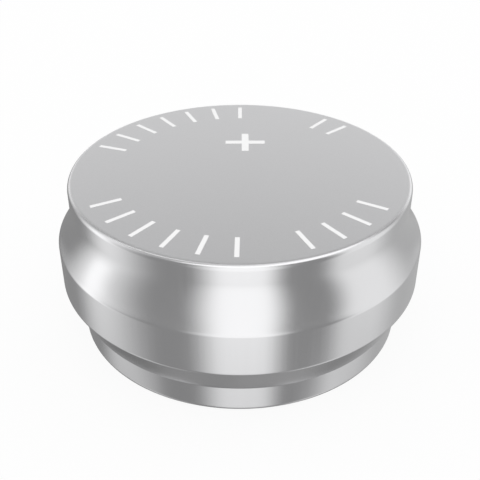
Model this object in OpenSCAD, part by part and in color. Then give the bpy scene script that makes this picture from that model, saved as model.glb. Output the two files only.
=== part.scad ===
// Lithium coin cell, 12.1 mm by 5.4 mm: a drawn steel can closed by a drawn steel cap, with a
// moulded gasket between them and a wound electrode roll inside.
// The origin is the centre of the negative contact face, and +Z points to the positive face.

/* [Cell] */
// Outside diameter at the belt, the widest part
cell_d = 12.1; // [12:0.02:12.4]
// Height over both contact faces
cell_h = 5.4; // [5.2:0.1:7]

/* [Positive can] */
// Thickness of the can's sheet
can_t = 0.12; // [0.08:0.01:0.14]
// How far the belt stands out beyond the upper wall
flare_w = 0.49; // [0.42:0.01:0.53]
// Inside bend radius at the edge of the positive face
rim_bend = 0.03; // [0.01:0.01:0.1]
// Height of the straight wall between the positive face and the flare
rim_h = 0.6; // [0.4:0.02:0.8]
// Height of the flare that widens the wall to the belt
flare_h = 1.38; // [1.2:0.02:1.5]
// Inside bend radius of the creases above and below the belt
crease_bend = 0.02; // [0.01:0.01:0.06]
// Height of the belt
belt_h = 1.42; // [1.2:0.02:1.5]
// Height of the shoulder that is drawn in below the belt
shoulder_h = 1; // [0.95:0.01:1.1]
// Width of the flat end of the lip, which is swaged against the neck
lip_w = 0.04; // [0.02:0.01:0.06]

/* [Negative cap] */
// Thickness of the cap's sheet
cap_t = 0.12; // [0.08:0.01:0.14]
// How far the neck that shows below the lip stays inside the belt
neck_inset = 0.59; // [0.54:0.01:0.64]
// Inside bend radius at the edge of the negative face
neck_bend = 0.04; // [0.01:0.01:0.1]
// Inside bend radius of the two bends where the wall widens under the shoulder
step_bend = 0.04; // [0.02:0.01:0.08]

/* [Sealing gasket] */
// Thickness between the belt and the cap's wall
seal_t = 0.2; // [0.16:0.01:0.26]
// Thickness under the lip
seal_lip_t = 0.04; // [0.02:0.01:0.06]
// How far the gasket's lower end stands out below the lip
seal_proud = 0.03; // [0:0.01:0.06]
// Thickness over the cap's edge
seal_top_t = 0.25; // [0.15:0.01:0.3]
// How far the gasket's top stays below the crease of the flare
seal_top_gap = 0.08; // [0.06:0.01:0.15]
// Thickness of the foot that grips the inside of the cap's edge
foot_t = 0.12; // [0.08:0.01:0.16]
// Depth of that foot below the cap's edge
foot_h = 0.5; // [0.3:0.05:0.8]

/* [Electrode roll] */
// Clearance between the taped roll and the neck
roll_gap = 0.08; // [0.04:0.01:0.2]
// Diameter of the hollow core that the winding mandrel leaves
core_d = 1.8; // [1.4:0.1:2.4]
// Thickness of one turn: two electrodes and two separators
turn_t = 0.36; // [0.3:0.01:0.5]
// Width of the step between the separator's edges on the roll's ends
turn_gap = 0.14; // [0.08:0.01:0.2]
// Depth to which the electrodes lie below the separator's edges
turn_depth = 0.12; // [0.06:0.01:0.2]
// Thickness of the tape that closes the roll
tape_t = 0.05; // [0.03:0.01:0.08]

/* [Tabs and insulators] */
// Width of both current tabs
tab_w = 2; // [1.2:0.1:2.6]
// Thickness of both current tabs
tab_t = 0.06; // [0.04:0.01:0.1]
// Inside bend radius of a tab's fold
tab_bend = 0.05; // [0.03:0.01:0.1]
// Distance from the axis at which a tab enters the roll
tab_x = 3.2; // [2.6:0.1:4]
// Length of a tab beyond the axis, where it is welded
tab_over = 1.5; // [0.8:0.1:2.4]
// Depth to which a tab enters the roll
tab_depth = 1.2; // [0.6:0.1:2]
// Thickness of both insulating discs
disc_t = 0.08; // [0.05:0.01:0.15]
// Diameter of the hole at the centre of both discs
disc_hole_d = 2; // [1.4:0.1:2.4]
// Clearance round a tab in a disc's slit
slit_gap = 0.05; // [0.03:0.01:0.1]

/* [Hidden] */

// Facets of the previews round the axis, and the most that a chord may leave its bend
$fn = 96;
SAG = 0.0007;
// Length added to a cutting solid so that it passes the face it opens
EXTRA = 0.5;

STEEL = [0.80, 0.80, 0.81];
CAP_STEEL = [0.74, 0.74, 0.75];
SEAL = [0.16, 0.16, 0.17];
ROLL = [0.30, 0.31, 0.33];
TAPE = [0.86, 0.72, 0.35];
ALUMINIUM = [0.88, 0.89, 0.90];
NICKEL = [0.70, 0.68, 0.62];
FILM = [0.90, 0.90, 0.86];

cell_r = cell_d / 2;
rim_r = cell_r - flare_w;
neck_r = cell_r - neck_inset;

// Heights along the can, counted up from the negative face
belt_top = cell_h - rim_h - flare_h;
belt_bottom = belt_top - belt_h;
lip_z = belt_bottom - shoulder_h;

// The flare is one arc. It leaves the upper wall straight down and ends on the belt's crease.
flare_r = (flare_w * flare_w + flare_h * flare_h) / (2 * flare_w);
flare_tan = flare_w / flare_h;
flare_corner = belt_top + flare_h - flare_r * flare_tan;

// Radii where the pieces of the seal meet
belt_in = cell_r - can_t;
lip_in = neck_r + seal_lip_t;
lip_r = lip_in + lip_w;
wall_r = belt_in - seal_t;
wall_in = wall_r - cap_t;

// Heights of the seal's top and of the cap's edge below it
seal_top = belt_top - seal_top_gap;
edge_z = seal_top - seal_top_t;

// The roll fills the length that the sheets, the tabs and the discs leave
roll_z = cap_t + tab_t + disc_t;
roll_top = cell_h - can_t - tab_t - disc_t;
roll_h = roll_top - roll_z;
tape_r = neck_r - cap_t - roll_gap;
roll_r = tape_r - tape_t;
core_r = core_d / 2;
turn_edge = turn_t - turn_gap;
first_turn_r = core_r + turn_edge;
turns = floor((roll_r - first_turn_r) / turn_t) - 1;

// A corner's place, and the direction of the stretch that follows it
function at(path, i) = [path[i].x, path[i].y];
function heading(path, i) = (at(path, i + 1) - at(path, i)) / norm(at(path, i + 1) - at(path, i));
function to_right(v) = [v.y, -v.x];

// Corner i of a path that is moved to its right by d, so that both surfaces stay parallel
function shifted(path, i, d) =
    i == 0 ? at(path, 0) + d * to_right(heading(path, 0)) :
    i == len(path) - 1 ? at(path, i) + d * to_right(heading(path, i - 1)) :
    let (u = heading(path, i - 1), v = heading(path, i))
    at(path, i) + d * (to_right(u) + to_right(v)) / (1 + u * v);

// The points of corner i: an arc where the sheet is bent, or else the corner itself
function bend(path, i, d) =
    path[i].z == 0 ? [shifted(path, i, d)] :
    let (
        u = heading(path, i - 1),
        v = heading(path, i),
        turn = u.x * v.y - u.y * v.x > 0 ? 1 : -1,
        r = path[i].z + turn * d,
        half = acos(u * v) / 2,
        centre = shifted(path, i, d) + r / cos(half) * (v - u) / norm(v - u),
        from = atan2(turn * -u.x, turn * u.y),
        steps = ceil(half / acos(1 - SAG / r))
    )
    [for (k = [0:steps]) let (a = from + turn * 2 * half * k / steps) centre + r * [cos(a), sin(a)]];

function bends(path, first, last, d) = [for (i = [first:last]) each bend(path, i, d)];
function reversed(points) = [for (i = [len(points) - 1:-1:0]) points[i]];

// Where the line through a point, in the direction v, reaches the radius r
function height_at(point, v, r) = point.y + (r - point.x) * v.y / v.x;

// Outlines of the two sheets as [radius, height, bend radius of the outer surface]. The sheet
// lies to the right of the direction of travel, so a right bend has its larger radius outside.
can_path = [
    [0, cell_h, 0],
    [rim_r, cell_h, rim_bend + can_t],
    [rim_r, flare_corner, flare_r - crease_bend - can_t],
    [cell_r, belt_top, crease_bend + can_t],
    [cell_r, belt_bottom, crease_bend + can_t],
    [lip_r, lip_z, 0]
];
BELT_BOTTOM = 4;
LIP = 5;

// The cap's wall widens parallel to the can's shoulder, with the gasket's thickness between
shoulder_dir = heading(can_path, BELT_BOTTOM);
shoulder_in = shifted(can_path, BELT_BOTTOM, can_t);
step = shifted(can_path, BELT_BOTTOM, can_t + seal_t);
land_top = height_at(shoulder_in, shoulder_dir, lip_in);

cap_path = [
    [step.x, edge_z, 0],
    [step.x, step.y, step_bend + cap_t],
    [neck_r, height_at(step, shoulder_dir, neck_r), step_bend],
    [neck_r, 0, neck_bend + cap_t],
    [0, 0, 0]
];
STEP_TOP = 1;
STEP_BOTTOM = 2;
FACE = 4;

module positive_can() {
    section = concat(
        bends(can_path, 0, LIP, 0),
        [[lip_in, lip_z], [lip_in, land_top]],
        reversed(bends(can_path, 0, BELT_BOTTOM, can_t))
    );
    color(STEEL)
        rotate_extrude()
            polygon(section);
}

module negative_cap() {
    section = concat(bends(cap_path, 0, FACE, 0), reversed(bends(cap_path, 0, FACE, cap_t)));
    color(CAP_STEEL)
        rotate_extrude()
            polygon(section);
}

// Fills the space between the two sheets, hooks over the cap's edge and grips it from inside
module sealing_gasket() {
    against_can = concat(
        [[lip_in, lip_z - seal_proud], [lip_in, land_top]],
        reversed(bend(can_path, BELT_BOTTOM, can_t)),
        [[belt_in, seal_top]]
    );
    foot = [
        [wall_in - foot_t, seal_top],
        [wall_in - foot_t, edge_z - foot_h],
        [wall_in, edge_z - foot_h],
        [wall_in, edge_z]
    ];
    against_cap = concat(
        [[wall_r, edge_z]],
        bends(cap_path, STEP_TOP, STEP_BOTTOM, 0),
        [[neck_r, lip_z - seal_proud]]
    );
    color(SEAL)
        rotate_extrude()
            polygon(concat(against_can, foot, against_cap));
}

// Half a turn of the groove between two separator edges, as a flat outline
module half_turn(r) {
    outer = r + turn_gap;
    intersection() {
        difference() {
            circle(r = outer);
            circle(r = r);
        }
        translate([-outer, 0])
            square([2 * outer, outer]);
    }
}

// A spiral from half circles about two centres, which lie half a turn's thickness apart
module spiral_groove(z) {
    translate([0, 0, z])
        linear_extrude(turn_depth + EXTRA)
            for (k = [0:2 * turns - 1]) {
                side = k % 2 == 0 ? 1 : -1;
                translate([-side * turn_t / 4, 0])
                    rotate(k % 2 * 180)
                        half_turn(first_turn_r + turn_t / 4 + k * turn_t / 2);
            }
}

module tab_slot(z) {
    translate([tab_x - tab_t, -tab_w / 2, z])
        cube([tab_t, tab_w, tab_depth + EXTRA]);
}

module electrode_roll() {
    color(ROLL)
        difference() {
            translate([0, 0, roll_z])
                cylinder(r = roll_r, h = roll_h);
            translate([0, 0, roll_z - EXTRA])
                cylinder(r = core_r, h = roll_h + 2 * EXTRA);
            spiral_groove(roll_top - turn_depth);
            spiral_groove(roll_z - EXTRA);
            tab_slot(roll_top - tab_depth);
            rotate([0, 0, 180])
                tab_slot(roll_z - EXTRA);
        }
}

module closing_tape() {
    color(TAPE)
        translate([0, 0, roll_z])
            rotate_extrude()
                translate([roll_r, 0])
                    square([tape_t, roll_h]);
}

// A strip that lies flat under a contact face from beyond the axis, and folds down into the
// roll. It is drawn with the contact face at z = 0 and the roll below.
module tab_strip() {
    bend_out = tab_bend + tab_t;
    fold_x = tab_x - bend_out;
    leg = disc_t + tab_depth - tab_bend;
    rotate([90, 0, 0])
        linear_extrude(tab_w, center = true) {
            translate([-tab_over, -tab_t])
                square([tab_over + fold_x, tab_t]);
            translate([fold_x, -bend_out])
                intersection() {
                    difference() {
                        circle(r = bend_out);
                        circle(r = tab_bend);
                    }
                    square(bend_out);
                }
            translate([tab_x - tab_t, -bend_out - leg])
                square([tab_t, leg]);
        }
}

module positive_tab() {
    color(ALUMINIUM)
        translate([0, 0, cell_h - can_t])
            tab_strip();
}

module negative_tab() {
    color(NICKEL)
        translate([0, 0, cap_t])
            rotate([0, 180, 0])
                tab_strip();
}

// A film disc with a hole for welding and a slit through which the tab folds, at angle 0
module insulator() {
    slit_x = tab_x - tab_bend - tab_t - slit_gap;
    slit_w = tab_w + 2 * slit_gap;
    difference() {
        cylinder(r = roll_r, h = disc_t);
        translate([0, 0, -EXTRA])
            cylinder(d = disc_hole_d, h = disc_t + 2 * EXTRA);
        translate([slit_x, -slit_w / 2, -EXTRA])
            cube([tab_x + slit_gap - slit_x, slit_w, disc_t + 2 * EXTRA]);
    }
}

module positive_insulator() {
    color(FILM)
        translate([0, 0, roll_top])
            insulator();
}

module negative_insulator() {
    color(FILM)
        translate([0, 0, roll_z - disc_t])
            rotate([0, 0, 180])
                insulator();
}

positive_can();
negative_cap();
sealing_gasket();
electrode_roll();
closing_tape();
positive_tab();
negative_tab();
positive_insulator();
negative_insulator();
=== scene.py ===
# %% [markdown]
# # A lithium coin cell
# The cell is two drawn steel cups, one turned over and pushed into the other, with a thin
# polymer seal between their walls. The solids come ready from CAD. This script dresses them:
# it turns finer shells from the same outlines, gives every piece its finish, adds the marks on
# the positive face and sets up the floor, the light and the camera.
#
# The CAD model is loaded first, because every piece is placed by it. All lengths are in metres.

# %% Load the CAD frame
import math

import bmesh
import bpy
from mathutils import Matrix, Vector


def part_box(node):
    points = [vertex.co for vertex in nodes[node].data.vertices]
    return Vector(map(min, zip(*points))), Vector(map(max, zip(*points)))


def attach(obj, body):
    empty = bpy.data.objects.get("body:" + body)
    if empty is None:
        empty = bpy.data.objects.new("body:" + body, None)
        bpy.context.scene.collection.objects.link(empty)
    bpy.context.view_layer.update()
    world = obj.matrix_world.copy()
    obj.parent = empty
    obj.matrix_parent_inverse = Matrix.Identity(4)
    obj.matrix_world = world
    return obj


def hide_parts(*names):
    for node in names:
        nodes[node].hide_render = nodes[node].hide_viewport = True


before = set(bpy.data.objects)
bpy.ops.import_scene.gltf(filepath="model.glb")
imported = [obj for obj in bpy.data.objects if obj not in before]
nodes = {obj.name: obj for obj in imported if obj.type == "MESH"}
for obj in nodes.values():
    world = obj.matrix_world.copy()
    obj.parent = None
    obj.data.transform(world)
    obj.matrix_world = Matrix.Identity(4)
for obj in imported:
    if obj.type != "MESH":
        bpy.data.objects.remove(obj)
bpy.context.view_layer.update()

MM = 0.001
print("CAD nodes:", sorted(nodes))

# %% [markdown]
# ## Helpers for node trees
# Materials, the world and Geometry Nodes are all node trees. Writing them by hand takes three
# lines for each node: make it, set it, link it. One helper does all three, so that a tree
# reads like a recipe. A socket handed to it is linked, and a plain value is set.

# %% A node in one line
def add(tree, kind, inputs=(), **settings):
    """A new node of that kind, with its settings and inputs."""
    made = tree.nodes.new(kind)
    for name, value in settings.items():
        setattr(made, name, value)
    for key, value in dict(inputs).items():
        if isinstance(value, bpy.types.NodeSocket):
            tree.links.new(value, made.inputs[key])
        else:
            made.inputs[key].default_value = value
    return made


def calc(tree, operation, *values):
    """The result of a Math node."""
    return add(tree, "ShaderNodeMath", enumerate(values), operation=operation).outputs[0]


def remap(tree, value, low, high, to_low=0.0, to_high=1.0):
    """value's way from low to high, eased at both ends and held beyond them."""
    inputs = {"Value": value, "From Min": low, "From Max": high,
              "To Min": to_low, "To Max": to_high}
    return add(tree, "ShaderNodeMapRange", inputs,
               interpolation_type="SMOOTHSTEP").outputs["Result"]


def mix(tree, share, first, second):
    """From one number to another. A Mix node takes its two numbers at sockets 2 and 3."""
    return add(tree, "ShaderNodeMix", {0: share, 2: first, 3: second}).outputs[0]


print("helpers:", [helper.__name__ for helper in (add, calc, remap, mix)])

# %% [markdown]
# ## The outline, read from the CAD solid
# On the real cell the can and the cap are drawn from sheet, so each is the same section all the
# way round. The CAD mesh holds that section as the chain of edges that lies on the plane
# Y = 0. Reading the chain keeps the finer shell exactly on the CAD shape. Typing the numbers
# again would let the two drift apart.

# %% Read the section of a turned solid
WELD = 1e-7          # points closer than this are one point


def section_of(node):
    """Points (radius, height) along the section, and whether they form a loop."""
    solid = bmesh.new()
    solid.from_mesh(nodes[node].data)
    bmesh.ops.remove_doubles(solid, verts=solid.verts, dist=WELD)
    beside = {v: [] for v in solid.verts if abs(v.co.y) < WELD and v.co.x > -WELD}
    for edge in solid.edges:
        a, b = edge.verts
        if a in beside and b in beside:
            beside[a].append(b)
            beside[b].append(a)
    ends = [v for v, near in beside.items() if len(near) == 1]
    chain = [max(ends or [v for v in beside if beside[v]], key=lambda v: v.co.z)]
    while True:
        onward = [v for v in beside[chain[-1]] if v not in chain]
        if not onward:
            break
        chain.append(onward[0])
    points = [(v.co.x, v.co.z) for v in chain]
    if ends:         # a cup: its two flat faces reach the axis
        points = [(0.0, points[0][1]), *points, (0.0, points[-1][1])]
    solid.free()
    return points, not ends


for node in ("positive_can", "negative_cap", "sealing_gasket"):
    points, loop = section_of(node)
    print(node, len(points), "points, loop" if loop else "points, cup")

# %% [markdown]
# Smooth shading blends the direction of a surface from point to point. On a long flat run that
# blend would start at the last bend and wash over the whole flat. Two extra points close to the
# ends of each long run hold the blend inside the bend, as support loops do in modelling.

# %% Support points beside the bends
SUPPORT = 0.025 * MM
LONG_RUN = 0.2 * MM


def supported(points, loop):
    """The outline with a point close to each end of its long runs."""
    result = []
    following = points[1:] + points[:1] if loop else points[1:]
    for (r0, z0), (r1, z1) in zip(points, following):
        result.append((r0, z0))
        length = math.hypot(r1 - r0, z1 - z0)
        if length > LONG_RUN:
            for share in (SUPPORT / length, 1 - SUPPORT / length):
                result.append((r0 + (r1 - r0) * share, z0 + (z1 - z0) * share))
    return result if loop else result + [points[-1]]


print("positive_can", len(supported(*section_of("positive_can"))), "points with support")

# %% [markdown]
# ## Trees that make geometry
# Two rules make geometry here: turn a section round the axis, and repeat a stroke along an arc.
# Each is a Geometry Nodes tree with named inputs, so that one tree serves several pieces. Both
# end alike: instances become real, because the export drops them, and the piece gets its finish.
#
# The modifier could stay on the piece, but here the tree runs on a seed, and its result is kept
# as a plain mesh.

# %% Start and end a tree
def geometry_tree(name, **kinds):
    """A new tree with named inputs, and the sockets that bring them in."""
    tree = bpy.data.node_groups.new(name, "GeometryNodeTree")
    tree.interface.new_socket("Geometry", in_out="OUTPUT", socket_type="NodeSocketGeometry")
    for title, kind in kinds.items():
        tree.interface.new_socket(title, in_out="INPUT", socket_type="NodeSocket" + kind)
    return tree, add(tree, "NodeGroupInput").outputs


def close_tree(tree, geometry, finish):
    """Make instances real, give the finish and send the result out."""
    real = add(tree, "GeometryNodeRealizeInstances", {"Geometry": geometry}).outputs[0]
    finished = add(tree, "GeometryNodeSetMaterial",
                   {"Geometry": real, "Material": finish}).outputs[0]
    add(tree, "NodeGroupOutput", {"Geometry": finished})
    print(tree.name, "has", len(tree.nodes), "nodes")


# %% Run a tree on a mesh and keep the result as a plain mesh
def grown(name, start, tree, **inputs):
    """The piece that a Geometry Nodes tree makes of the mesh start."""
    seed = bpy.data.objects.new(name + "_seed", start)
    bpy.context.scene.collection.objects.link(seed)
    modifier = seed.modifiers.new("grow", "NODES")
    modifier.node_group = tree
    for item in tree.interface.items_tree:
        if item.in_out == "INPUT" and item.name in inputs:
            modifier[item.identifier] = inputs[item.name]
    depsgraph = bpy.context.evaluated_depsgraph_get()
    mesh = bpy.data.meshes.new_from_object(seed.evaluated_get(depsgraph))
    bpy.data.objects.remove(seed)
    mesh.name = name
    faces = bmesh.new()
    faces.from_mesh(mesh)
    bmesh.ops.recalc_face_normals(faces, faces=faces.faces)
    open_edges = sum(not edge.is_manifold for edge in faces.edges)
    faces.to_mesh(mesh)
    faces.free()
    piece = bpy.data.objects.new(name, mesh)
    bpy.context.scene.collection.objects.link(piece)
    print(name, len(mesh.polygons), "faces,", open_edges, "open edges")
    return piece


# %% [markdown]
# ## Turning the shells
# A drawn cup could be made with the Screw modifier, or point by point in a script. Geometry
# Nodes show the rule itself: sweep the section round a circle. The circle has a radius of its
# own, so the section is moved inwards by as much before the sweep.

# %% Geometry Nodes: turn a section round the axis
CIRCLE_RADIUS = 1 * MM


def turning_tree():
    """Sweep a section, which is drawn in X and Z, round the Z axis."""
    tree, given = geometry_tree("turned section", Section="Geometry", Segments="Int",
                                Finish="Material")
    place = add(tree, "ShaderNodeSeparateXYZ",
                {0: add(tree, "GeometryNodeInputPosition").outputs[0]}).outputs
    flat = add(tree, "ShaderNodeCombineXYZ",
               {"X": calc(tree, "SUBTRACT", place["X"], CIRCLE_RADIUS),
                "Y": calc(tree, "MULTIPLY", place["Z"], -1.0)}).outputs[0]
    laid = add(tree, "GeometryNodeSetPosition",
               {"Geometry": given["Section"], "Position": flat}).outputs[0]
    section = add(tree, "GeometryNodeMeshToCurve", {"Mesh": laid}).outputs[0]
    circle = add(tree, "GeometryNodeCurvePrimitiveCircle",
                 {"Resolution": given["Segments"], "Radius": CIRCLE_RADIUS}).outputs[0]
    upright = add(tree, "GeometryNodeSetCurveNormal", {"Curve": circle}, mode="Z_UP").outputs[0]
    swept = add(tree, "GeometryNodeCurveToMesh",
                {"Curve": upright, "Profile Curve": section}).outputs[0]
    merged = add(tree, "GeometryNodeMergeByDistance",
                 {"Geometry": swept, "Distance": WELD}).outputs[0]
    smooth = add(tree, "GeometryNodeSetShadeSmooth", {0: merged}).outputs[0]
    close_tree(tree, smooth, given["Finish"])
    return tree


TURNING = turning_tree()


def turned(name, node, segments, finish):
    """A fine shell on the outline of a CAD node, which it replaces."""
    points, loop = section_of(node)
    points = supported(points, loop)
    count = len(points)
    edges = [(i, (i + 1) % count) for i in range(count if loop else count - 1)]
    chain = bpy.data.meshes.new(name + "_section")
    chain.from_pydata([(r, 0.0, z) for r, z in points], edges, [])
    return grown(name, chain, TURNING, Segments=segments, Finish=finish)


# %% [markdown]
# ## Materials
# A flat colour looks like paint. Real surfaces change a little from place to place, in colour,
# gloss and height, so each finish here is a noise that moves all three. The noise is laid over
# object coordinates, which stay with the piece in every view.

# %% Helpers for materials
def new_material(name, **constants):
    """A material with a Principled shader, its tree and the shader."""
    made = bpy.data.materials.new(name)
    made.use_nodes = True
    tree = made.node_tree
    tree.nodes.clear()
    shader = add(tree, "ShaderNodeBsdfPrincipled",
                 {key.replace("_", " "): value for key, value in constants.items()})
    add(tree, "ShaderNodeOutputMaterial", {"Surface": shader.outputs[0]})
    return made, tree, shader


def feed(tree, shader, **sources):
    """Link a source to each named input of the shader."""
    for key, source in sources.items():
        tree.links.new(source, shader.inputs[key.replace("_", " ")])


def place_in(tree, stretch=(1.0, 1.0, 1.0)):
    """Object coordinates, stretched."""
    here = add(tree, "ShaderNodeTexCoord").outputs["Object"]
    return add(tree, "ShaderNodeMapping", {"Vector": here, "Scale": stretch}).outputs[0]


def grain(tree, place, size, detail=3.0):
    """A noise with features of that size, in metres."""
    return add(tree, "ShaderNodeTexNoise",
               {"Vector": place, "Scale": 1.0 / size, "Detail": detail}).outputs["Fac"]


def swing(tree, noise, middle, width):
    """A number that the noise moves round middle, by width from lowest to highest."""
    return calc(tree, "MULTIPLY_ADD", noise, width, middle - width / 2)


def raised(tree, height, strength, depth):
    """The direction of a surface on which height stands out by depth."""
    return add(tree, "ShaderNodeBump",
               {"Height": height, "Strength": strength, "Distance": depth}).outputs[0]


def toned(colour, share):
    """The colour made darker or lighter."""
    return tuple(min(1.0, share * channel) for channel in colour)


def blend_colours(tree, share, first, second):
    """From a colour, or a socket, to a colour. A Mix node takes colours at sockets 6 and 7."""
    start = first if isinstance(first, bpy.types.NodeSocket) else (*first, 1.0)
    return add(tree, "ShaderNodeMix", {"Factor": share, 6: start, 7: (*second, 1.0)},
               data_type="RGBA").outputs[2]


# %% [markdown]
# ## Steel
# The walls are drawn through a polished die, so they are smooth and carry faint streaks along
# the draw. The face is blasted to an even satin grey. Both are the same sheet, so one material
# makes both and fades from one to the other at the rim. The streaks come from a noise that is
# stretched along Z. On the flat face nothing runs along Z, so it has a fine speckle instead.

# %% Drawn steel
STREAK_WIDTH = 0.09 * MM
STREAK_STRETCH = (1.0, 1.0, 0.02)    # along Z a streak changes fifty times as slowly
CLOUD_SIZE = 1.6 * MM
SPECKLE_SIZE = 0.035 * MM
STREAK_ROUGH = 0.05                  # how much each of the three moves the roughness
CLOUD_ROUGH = 0.04
SPECKLE_ROUGH = 0.12
TONE_SWING = 0.05                    # how far the colour goes darker and lighter
WALL_TONE = 0.4                      # the wall's share of that
STREAK_RELIEF = 0.05                 # depth of a streak as a share of the speckle's
STEEL_RELIEF = 0.0012 * MM


def steel(name, tone, wall_rough, face_rough, face_low, face_high):
    """Drawn steel. Between heights face_low and face_high the wall finish turns into the
    finish of the flat face."""
    made, tree, shader = new_material(name, Metallic=1.0)
    height = add(tree, "ShaderNodeSeparateXYZ", {0: place_in(tree)}).outputs["Z"]
    on_face = remap(tree, height, face_low, face_high)
    streaks = grain(tree, place_in(tree, STREAK_STRETCH), STREAK_WIDTH)
    clouds = grain(tree, place_in(tree), CLOUD_SIZE, detail=2.0)
    speckle = grain(tree, place_in(tree), SPECKLE_SIZE, detail=2.0)
    wall = swing(tree, streaks, middle=wall_rough, width=STREAK_ROUGH)
    wall = calc(tree, "MULTIPLY_ADD", clouds, CLOUD_ROUGH, wall)
    face = swing(tree, speckle, middle=face_rough, width=SPECKLE_ROUGH)
    shade = mix(tree, on_face, swing(tree, streaks, middle=0.5, width=WALL_TONE), speckle)
    relief = mix(tree, on_face, calc(tree, "MULTIPLY", streaks, STREAK_RELIEF), speckle)
    feed(tree, shader, Roughness=mix(tree, on_face, wall, face),
         Base_Color=blend_colours(tree, shade, toned(tone, 1 - TONE_SWING),
                                  toned(tone, 1 + TONE_SWING)),
         Normal=raised(tree, relief, strength=0.5, depth=STEEL_RELIEF))
    print(name, "has", len(tree.nodes), "nodes")
    return made


FACE_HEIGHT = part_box("positive_can")[1].z
FADE_STARTS = 0.03 * MM              # distance from the contact face
FADE_ENDS = 0.002 * MM
CAN_STEEL = steel("can_steel", tone=(0.80, 0.80, 0.81), wall_rough=0.16, face_rough=0.40,
                  face_low=FACE_HEIGHT - FADE_STARTS, face_high=FACE_HEIGHT - FADE_ENDS)
CAP_STEEL = steel("cap_steel", tone=(0.76, 0.76, 0.77), wall_rough=0.17, face_rough=0.40,
                  face_low=FADE_STARTS, face_high=FADE_ENDS)

# %% [markdown]
# ## Seal
# The gasket is a moulded polymer ring. Only a fine dark line of it shows, where it ends between
# the can's lip and the cap's neck. One even grey would do for so thin a line, but the part can be
# taken apart. So the ring has a faint mottle in its colour and a fine grain in its gloss.

# %% Gasket polymer
SEAL_COLOUR = (0.16, 0.16, 0.17)
SEAL_DARKEST = 0.8                   # share of the colour that is left in the dark patches
MOTTLE_SIZE = 0.12 * MM
MOULD_GRAIN = 0.02 * MM
MOULD_RELIEF = 0.002 * MM


def gasket_polymer():
    """Matte polymer as it comes from the mould."""
    made, tree, shader = new_material("gasket_polymer")
    patches = grain(tree, place_in(tree), MOTTLE_SIZE)
    fine = grain(tree, place_in(tree), MOULD_GRAIN)
    dark = toned(SEAL_COLOUR, SEAL_DARKEST)
    feed(tree, shader, Base_Color=blend_colours(tree, patches, dark, SEAL_COLOUR),
         Roughness=swing(tree, fine, middle=0.6, width=0.2),
         Normal=raised(tree, fine, strength=0.4, depth=MOULD_RELIEF))
    print("gasket_polymer has", len(tree.nodes), "nodes")
    return made


SEAL_POLYMER = gasket_polymer()

# %% [markdown]
# ## Can, cap and seal
# The CAD meshes could be shown as they are, but their facets would break up the reflections. So
# three turned pieces stand for their CAD nodes, which stay behind them for collision, hidden.
# The two steel ones mirror the room, so they have the most segments.

# %% Turn the three shells
SHELLS = (      # piece, CAD node, material slot, segments, finish
    ("can_shell", "positive_can", "can_steel", 384, CAN_STEEL),
    ("cap_shell", "negative_cap", "cap_steel", 384, CAP_STEEL),
    ("seal_ring", "sealing_gasket", "gasket_polymer", 256, SEAL_POLYMER),
)
for name, node, slot, segments, finish in SHELLS:
    shell = turned(name, node, segments, finish)
    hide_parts(node)
    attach(shell, "root")
    low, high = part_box(node)
    size = [round(side / MM, 3) for side in shell.dimensions]
    print(name, "is", size, "mm, the CAD solid", [round(s / MM, 3) for s in high - low])

# %% [markdown]
# ## Marks on the positive face
# A laser leaves frosted white marks a few micrometres high, finely hatched by its passes. This
# cell has a plus sign, and four arcs of plain strokes round the edge. The strokes could be
# placed one by one, but they are one stroke repeated along an arc. So Geometry Nodes place them:
# a point for each, spaced along the arc, and a small block on each point, turned to face the
# centre.

# %% Geometry Nodes: strokes along an arc
def stroke_tree():
    """Put Count strokes on an arc, the first at the angle Start and a Pitch between them."""
    tree, given = geometry_tree("strokes on an arc", Geometry="Geometry", Count="Int",
                                Start="Float", Pitch="Float", Radius="Float",
                                Stroke="Vector", Height="Float", Finish="Material")
    order = add(tree, "GeometryNodeInputIndex").outputs[0]
    angle = calc(tree, "MULTIPLY_ADD", order, given["Pitch"], given["Start"])
    place = add(tree, "ShaderNodeCombineXYZ",
                {"X": calc(tree, "MULTIPLY", calc(tree, "COSINE", angle), given["Radius"]),
                 "Y": calc(tree, "MULTIPLY", calc(tree, "SINE", angle), given["Radius"]),
                 "Z": given["Height"]}).outputs[0]
    points = add(tree, "GeometryNodePoints",
                 {"Count": given["Count"], "Position": place}).outputs[0]
    block = add(tree, "GeometryNodeMeshCube", {"Size": given["Stroke"]}).outputs["Mesh"]
    turn = add(tree, "ShaderNodeCombineXYZ", {"Z": angle}).outputs[0]
    placed = add(tree, "GeometryNodeInstanceOnPoints",
                 {"Points": points, "Instance": block, "Rotation": turn}).outputs[0]
    close_tree(tree, placed, given["Finish"])
    return tree


STROKES = stroke_tree()

# %% Laser mark finish
HATCH_SIZE = 0.05 * MM
HATCH_STRETCH = (1.0, 6.0, 1.0)      # the laser's passes run along X, close together
HATCH_DARK = (0.90, 0.90, 0.90)
HATCH_LIGHT = (0.99, 0.99, 0.99)
HATCH_RELIEF = 0.001 * MM


def laser_mark():
    """Frosted white, hatched by the laser's passes."""
    made, tree, shader = new_material("laser_mark")
    hatch = grain(tree, place_in(tree, HATCH_STRETCH), HATCH_SIZE)
    feed(tree, shader, Base_Color=blend_colours(tree, hatch, HATCH_DARK, HATCH_LIGHT),
         Roughness=swing(tree, hatch, middle=0.6, width=0.2),
         Normal=raised(tree, hatch, strength=0.3, depth=HATCH_RELIEF))
    print("laser_mark has", len(tree.nodes), "nodes")
    return made


LASER_MARK = laser_mark()

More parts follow.
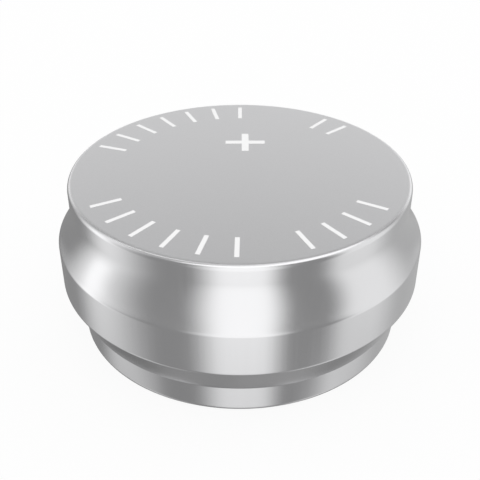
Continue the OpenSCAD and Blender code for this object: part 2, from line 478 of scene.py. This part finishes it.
# %% Strokes round the edge
MARK_HEIGHT = 0.004 * MM
MARK_SINK = 0.004 * MM               # how far a mark reaches into the face, so that none floats
MARK_Z = FACE_HEIGHT + (MARK_HEIGHT - MARK_SINK) / 2
STROKE_LENGTH = 1.0 * MM
STROKE_WIDTH = 0.14 * MM
STROKE = (STROKE_LENGTH, STROKE_WIDTH, MARK_HEIGHT + MARK_SINK)
ARCS = (      # piece, strokes, first angle and pitch in degrees from +X, radius
    ("front_left_marks", 6, 208.0, 12.2, 4.60 * MM),
    ("front_right_marks", 4, 293.4, 12.2, 4.60 * MM),
    ("back_left_marks", 7, 90.0, 11.6, 4.66 * MM),
    ("back_right_marks", 2, 42.0, 10.0, 4.66 * MM),
)
for name, count, first, pitch, radius in ARCS:
    empty = bpy.data.meshes.new(name + "_start")
    marks = grown(name, empty, STROKES, Count=count, Start=math.radians(first),
                  Pitch=math.radians(pitch), Radius=radius, Stroke=STROKE,
                  Height=MARK_Z, Finish=LASER_MARK)
    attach(marks, "root")

# %% [markdown]
# The plus sign marks the positive pole. Two crossed blocks would be quicker, but would leave
# faces inside each other. So it is one outline with twelve corners, at the bottom and again at
# the top. An extrusion could join the two, but it makes its faces in a new order each run. So
# they are listed here, and the mesh is the same every time.

# %% Plus sign
PLUS_X, PLUS_Y = 0.18 * MM, 2.10 * MM
PLUS_SIZE = 1.37 * MM
PLUS_BAR = 0.24 * MM


def plus_sign():
    """The mark as an object. Three corners, turned four times, make its outline."""
    far, near = PLUS_SIZE / 2, PLUS_BAR / 2
    quarter = ((far, -near), (far, near), (near, near))
    outline = []
    for turns in range(4):
        for x, y in quarter:
            for _ in range(turns):
                x, y = -y, x
            outline.append((x + PLUS_X, y + PLUS_Y))
    count = len(outline)
    corners = [(x, y, z) for z in (FACE_HEIGHT - MARK_SINK, FACE_HEIGHT + MARK_HEIGHT)
               for x, y in outline]
    bottom, top = tuple(range(count))[::-1], tuple(range(count, 2 * count))
    sides = [(i, (i + 1) % count, (i + 1) % count + count, i + count) for i in range(count)]
    mesh = bpy.data.meshes.new("plus_mark")
    mesh.from_pydata(corners, [], [bottom, top, *sides])
    mesh.materials.append(LASER_MARK)
    return bpy.data.objects.new("plus_mark", mesh)


plus = plus_sign()
bpy.context.scene.collection.objects.link(plus)
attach(plus, "root")
print("plus_mark", len(plus.data.polygons), "faces")

# %% [markdown]
# ## Pieces inside
# Nothing shows them, but the part can be opened, so each has its real finish. Their CAD shapes
# are right and stay as they are. At the roll's ends the pale edges of the separator stand above
# the dark electrodes, which show fine lines of foil. Rings over the radius draw those lines, but
# alone they would make blotches on the roll's side. So the depth below the end says which layer
# shows where.

# %% Wound roll
EDGE_DEPTH = 0.05 * MM               # how far down the separator's edge looks pale
GROOVE_DEPTH = 0.15 * MM             # below this is the roll's side, with no foil in sight
GROOVE_FADE = 0.02 * MM
FOIL_PITCH = 0.035 * MM
FOIL_STARTS, FOIL_FULL = 0.6, 0.9    # the foil's place in one layer of the winding
FIBRE_SIZE = 0.05 * MM
FIBRE_STRETCH = (1.0, 1.0, 0.1)
ROLL_RELIEF = 0.004 * MM
ROLL_GLOSSIEST, ROLL_ROUGHEST = 0.55, 0.80
COAT_DARK = (0.15, 0.15, 0.17)
COAT_LIGHT = (0.26, 0.26, 0.28)
COPPER = (0.50, 0.33, 0.22)
SEPARATOR = (0.72, 0.72, 0.70)


def wound_foil():
    """Layers of foil, coat and separator, each by its depth below the roll's ends."""
    made, tree, shader = new_material("coated_foil")
    low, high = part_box("electrode_roll")
    axes = add(tree, "ShaderNodeSeparateXYZ", {0: place_in(tree)}).outputs
    radius = calc(tree, "SQRT", calc(tree, "ADD", calc(tree, "POWER", axes["X"], 2.0),
                                     calc(tree, "POWER", axes["Y"], 2.0)))
    from_middle = calc(tree, "ABSOLUTE", calc(tree, "SUBTRACT", axes["Z"], (low.z + high.z) / 2))
    depth = calc(tree, "SUBTRACT", (high.z - low.z) / 2, from_middle)
    layer = calc(tree, "PINGPONG", calc(tree, "DIVIDE", radius, FOIL_PITCH), 1.0)
    foil = calc(tree, "MULTIPLY", remap(tree, layer, FOIL_STARTS, FOIL_FULL),
                remap(tree, depth, GROOVE_DEPTH, GROOVE_DEPTH - GROOVE_FADE))
    fibres = grain(tree, place_in(tree, FIBRE_STRETCH), FIBRE_SIZE)
    coat = blend_colours(tree, fibres, COAT_DARK, COAT_LIGHT)
    electrodes = blend_colours(tree, foil, coat, COPPER)
    edge = remap(tree, depth, EDGE_DEPTH, EDGE_DEPTH / 2)
    relief = calc(tree, "ADD", foil, fibres)
    feed(tree, shader, Base_Color=blend_colours(tree, edge, electrodes, SEPARATOR),
         Roughness=mix(tree, fibres, ROLL_GLOSSIEST, ROLL_ROUGHEST),
         Normal=raised(tree, relief, strength=0.5, depth=ROLL_RELIEF))
    print("coated_foil has", len(tree.nodes), "nodes")
    return made


# %% [markdown]
# The tape is amber film with fine lines from the roller. The tabs are rolled strip with lines
# along it. The discs are white film with a faint fibre. All three are one recipe: a streaked
# noise that moves colour, roughness and height a little.

# %% Film and strip
CLOUD_TO_STREAK = 20                 # how many times as large a cloud is as a streak
STREAK_SHARE, CLOUD_SHARE = 0.6, 0.4
FILM_DARKEST = 0.84                  # share of the colour that is left where it is darkest
FILM_ROUGH = 0.2                     # how much streaks and clouds move the roughness
WIDTH_TO_DEPTH = 30                  # how many times as wide a streak is as it is deep


def streaked(name, colour, rough, metallic, size, stretch):
    """Film or strip with streaks of that size."""
    made, tree, shader = new_material(name, Metallic=metallic)
    streaks = grain(tree, place_in(tree, stretch), size)
    clouds = grain(tree, place_in(tree), size * CLOUD_TO_STREAK, detail=2.0)
    share = calc(tree, "MULTIPLY_ADD", streaks, STREAK_SHARE,
                 calc(tree, "MULTIPLY", clouds, CLOUD_SHARE))
    feed(tree, shader, Base_Color=blend_colours(tree, share, toned(colour, FILM_DARKEST), colour),
         Roughness=swing(tree, share, middle=rough, width=FILM_ROUGH),
         Normal=raised(tree, streaks, strength=0.4, depth=size / WIDTH_TO_DEPTH))
    return made


EVEN = (1.0, 1.0, 1.0)
AROUND = (1.0, 1.0, 30.0)            # lines that run round the axis
ALONG_X = (0.05, 1.0, 1.0)           # lines that run along X
FILMS = (      # material, colour, roughness, metallic, size and stretch of the streaks
    ("disc_film", (0.90, 0.90, 0.86), 0.65, 0.0, 0.10 * MM, EVEN),
    ("tape_film", (0.86, 0.72, 0.35), 0.30, 0.0, 0.20 * MM, AROUND),
    ("tab_aluminium", (0.88, 0.89, 0.90), 0.30, 1.0, 0.04 * MM, ALONG_X),
    ("tab_nickel", (0.70, 0.68, 0.62), 0.28, 1.0, 0.04 * MM, ALONG_X),
)
finishes = {row[0]: streaked(*row) for row in FILMS}
finishes["coated_foil"] = wound_foil()
print("finishes:", sorted(finishes))

# %% Put the finishes on the CAD nodes
INSIDE = {
    "electrode_roll": "coated_foil",
    "closing_tape": "tape_film",
    "positive_tab": "tab_aluminium",
    "negative_tab": "tab_nickel",
    "positive_insulator": "disc_film",
    "negative_insulator": "disc_film",
}
for node, slot in INSIDE.items():
    nodes[node].data.materials.clear()
    nodes[node].data.materials.append(finishes[slot])
    print(node, "has", slot)

# %% [markdown]
# ## Floor
# The background of the picture is white. The floor glows white for the camera alone and is
# partly plain matte, so it keeps a faint shadow under the cell. It is hidden from reflections:
# on a white sweep as close as this, the metal would mirror nothing but the floor. From below it
# is clear, so that the negative face can be looked at.

# %% Floor
FLOOR_HALF = 400 * MM
FLOOR_DROP = 0.002 * MM              # so that the cell's face and the floor aren't in one plane
FLOOR_PALE = (0.95, 0.95, 0.95, 1.0)
WHITE = (1.0, 1.0, 1.0, 1.0)
GLOW_SHARE = 0.9                     # of what the camera sees; the rest takes the shadow


def floor_white():
    """White for the camera, matte for the light and clear from below."""
    made = bpy.data.materials.new("floor_white")
    made.use_nodes = True
    tree = made.node_tree
    tree.nodes.clear()
    matte = add(tree, "ShaderNodeBsdfDiffuse", {"Color": FLOOR_PALE}).outputs[0]
    glow = add(tree, "ShaderNodeEmission", {"Color": WHITE, "Strength": 1.0}).outputs[0]
    clear = add(tree, "ShaderNodeBsdfTransparent").outputs[0]
    by_camera = add(tree, "ShaderNodeLightPath").outputs["Is Camera Ray"]
    share = calc(tree, "MULTIPLY", by_camera, GLOW_SHARE)
    top = add(tree, "ShaderNodeMixShader", {0: share, 1: matte, 2: glow}).outputs[0]
    from_below = add(tree, "ShaderNodeNewGeometry").outputs["Backfacing"]
    both = add(tree, "ShaderNodeMixShader", {0: from_below, 1: top, 2: clear}).outputs[0]
    add(tree, "ShaderNodeOutputMaterial", {"Surface": both})
    return made


sheet = bpy.data.meshes.new("floor")
sheet.from_pydata([(x * FLOOR_HALF, y * FLOOR_HALF, -FLOOR_DROP)
                   for x, y in ((-1, -1), (1, -1), (1, 1), (-1, 1))], [], [(0, 1, 2, 3)])
sheet.materials.append(floor_white())
floor = bpy.data.objects.new("floor", sheet)
bpy.context.scene.collection.objects.link(floor)
floor.visible_glossy = False
print("floor", [round(side, 3) for side in floor.dimensions], "m")

# %% [markdown]
# ## Light
# Polished metal has no look of its own: it shows the room. The room here is a ring of soft
# boxes round the cell, as a product studio has them: a wide one behind the camera, one on each
# side, a lower one at the rear and dark gaps between them. Above is a bright ceiling, which draws
# the white line along the rim. It has a dark beam on the left and an opening at its middle.
#
# Lamps could do this too, but a lamp also lights the matte surfaces. So the room is drawn in the
# world, where each box is a smooth bump over azimuth and elevation, and only reflections see it.
# Matte surfaces get an even light of strength 1, at which a colour renders as it is written, and
# the camera sees white.

# %% What stands in the room
GAP_LEVEL = 0.28                               # light between the boxes
BOXES = (      # azimuth: starts, full, fades, ends; elevation: bottom, top, fade; light it adds
    ("behind the camera", (-35, -9, 14, 33), (-62, 80, 32), 0.89),
    ("behind it, low", (-32, -12, 16, 36), (-78, -41, 14), 0.40),
    ("left", (-127, -97, -95, -50), (-58, 80, 32), 0.68),
    ("left, bright core", (-105, -97, -92, -79), (-32, 26, 16), 0.28),
    ("left, low", (-98, -84, -72, -56), (-80, -40, 10), 0.40),
    ("right", (51, 71, 90, 125), (-64, 80, 40), 0.65),
    ("right, low", (38, 58, 74, 98), (-80, -40, 10), 0.40),
    ("right, rear", (95, 128, 152, 176), (-62, 30, 22), 0.20),
    ("right, below", (90, 125, 170, 205), (-95, -45, 15), 0.04),
    ("rear", (110, 145, 215, 250), (-14, 42, 24), 0.70),
    ("rear, low, dark", (120, 142, 218, 240), (-72, -40, 12), -0.09),
)
CEILING_STARTS, CEILING_FULL = 36, 52          # elevations
CEILING_LEVEL = 1.3
REAR_STARTS, REAR_FULL = 110, 145              # azimuths, on either side
REAR_RISE = 26                                 # how much higher the ceiling starts there
OPENING_STARTS, OPENING_FULL = 68, 82          # elevations
OPENING_LEVEL = 0.8
BEAM = (-112, -96, -58, -36)                   # azimuths: starts, full, fades, ends
BEAM_DEPTH = 0.65                              # share of the ceiling's light that it takes
print("room with", len(BOXES), "soft boxes and a ceiling")


# %% How bright the room is in each direction
def span(tree, azimuth, starts, full, fades, ends):
    """1 between full and fades, 0 outside starts and ends, also across the rear."""
    middle = (starts + ends) / 2
    away = calc(tree, "WRAP", calc(tree, "SUBTRACT", azimuth, middle), 180.0, -180.0)
    return calc(tree, "MULTIPLY", remap(tree, away, starts - middle, full - middle),
                remap(tree, away, ends - middle, fades - middle))


def walls(tree, azimuth, elevation):
    """The soft boxes and the gaps between them."""
    total = GAP_LEVEL
    for _, azimuths, (bottom, top, fade), level in BOXES:
        tall = calc(tree, "MULTIPLY", remap(tree, elevation, bottom, bottom + fade),
                    remap(tree, elevation, top, top - fade))
        box = calc(tree, "MULTIPLY", span(tree, azimuth, *azimuths), tall)
        total = calc(tree, "MULTIPLY_ADD", box, level, total)
    return total


def room(tree):
    """How bright the room is in the direction of a ray. Azimuth 0 is the camera's side."""
    axes = add(tree, "ShaderNodeSeparateXYZ",
               {0: add(tree, "ShaderNodeTexCoord").outputs["Generated"]}).outputs
    towards_camera = calc(tree, "MULTIPLY", axes["Y"], -1.0)
    azimuth = calc(tree, "DEGREES", calc(tree, "ARCTAN2", axes["X"], towards_camera))
    elevation = calc(tree, "DEGREES", calc(tree, "ARCSINE", axes["Z"]))
    rear = remap(tree, calc(tree, "ABSOLUTE", azimuth), REAR_STARTS, REAR_FULL)
    raised_rear = calc(tree, "MULTIPLY_ADD", rear, -REAR_RISE, elevation)
    overhead = remap(tree, raised_rear, CEILING_STARTS, CEILING_FULL)
    ceiling = remap(tree, elevation, OPENING_STARTS, OPENING_FULL, CEILING_LEVEL, OPENING_LEVEL)
    beam = calc(tree, "MULTIPLY_ADD", span(tree, azimuth, *BEAM), -BEAM_DEPTH, 1.0)
    return mix(tree, overhead, walls(tree, azimuth, elevation),
               calc(tree, "MULTIPLY", ceiling, beam))


# %% World
world = bpy.data.worlds.new("studio")
bpy.context.scene.world = world
world.use_nodes = True
tree = world.node_tree
tree.nodes.clear()
mirrored = add(tree, "ShaderNodeBackground", {"Color": WHITE, "Strength": room(tree)})
even = add(tree, "ShaderNodeBackground", {"Color": WHITE, "Strength": 1.0})
ray = add(tree, "ShaderNodeLightPath").outputs
seen = add(tree, "ShaderNodeMixShader",
           {0: ray["Is Glossy Ray"], 1: even.outputs[0], 2: mirrored.outputs[0]})
add(tree, "ShaderNodeOutputWorld", {"Surface": seen.outputs[0]})
print("world has", len(tree.nodes), "nodes")

# %% [markdown]
# ## Camera
# The place of the camera comes from the perspective of the picture: close to the cell, 25 mm
# from the middle of the positive face and 27 degrees above it. It is aimed a little lower, at
# the middle of the cell. The lens then sets how much of the frame the cell fills.

# %% Camera
CAMERA_REACH = 25.2 * MM
CAMERA_RISE = math.radians(27.4)
AIM_DOWN = math.radians(5.2)
LENS = 57.7                          # Blender counts the lens and the sensor in millimetres
SENSOR = 36.0
NEAREST = 1 * MM                     # where the camera starts to see, and where it ends
FARTHEST = 10.0
camera_data = bpy.data.cameras.new("camera")
camera_data.lens = LENS
camera_data.sensor_width = SENSOR
camera_data.clip_start = NEAREST
camera_data.clip_end = FARTHEST
camera = bpy.data.objects.new("camera", camera_data)
bpy.context.scene.collection.objects.link(camera)
camera.location = (0.0, -CAMERA_REACH * math.cos(CAMERA_RISE),
                   FACE_HEIGHT + CAMERA_REACH * math.sin(CAMERA_RISE))
camera.rotation_euler = (math.pi / 2 - CAMERA_RISE - AIM_DOWN, 0.0, 0.0)
bpy.context.scene.camera = camera
bpy.context.scene.view_settings.view_transform = "Standard"
print("camera at", [round(x / MM, 2) for x in camera.location], "mm")
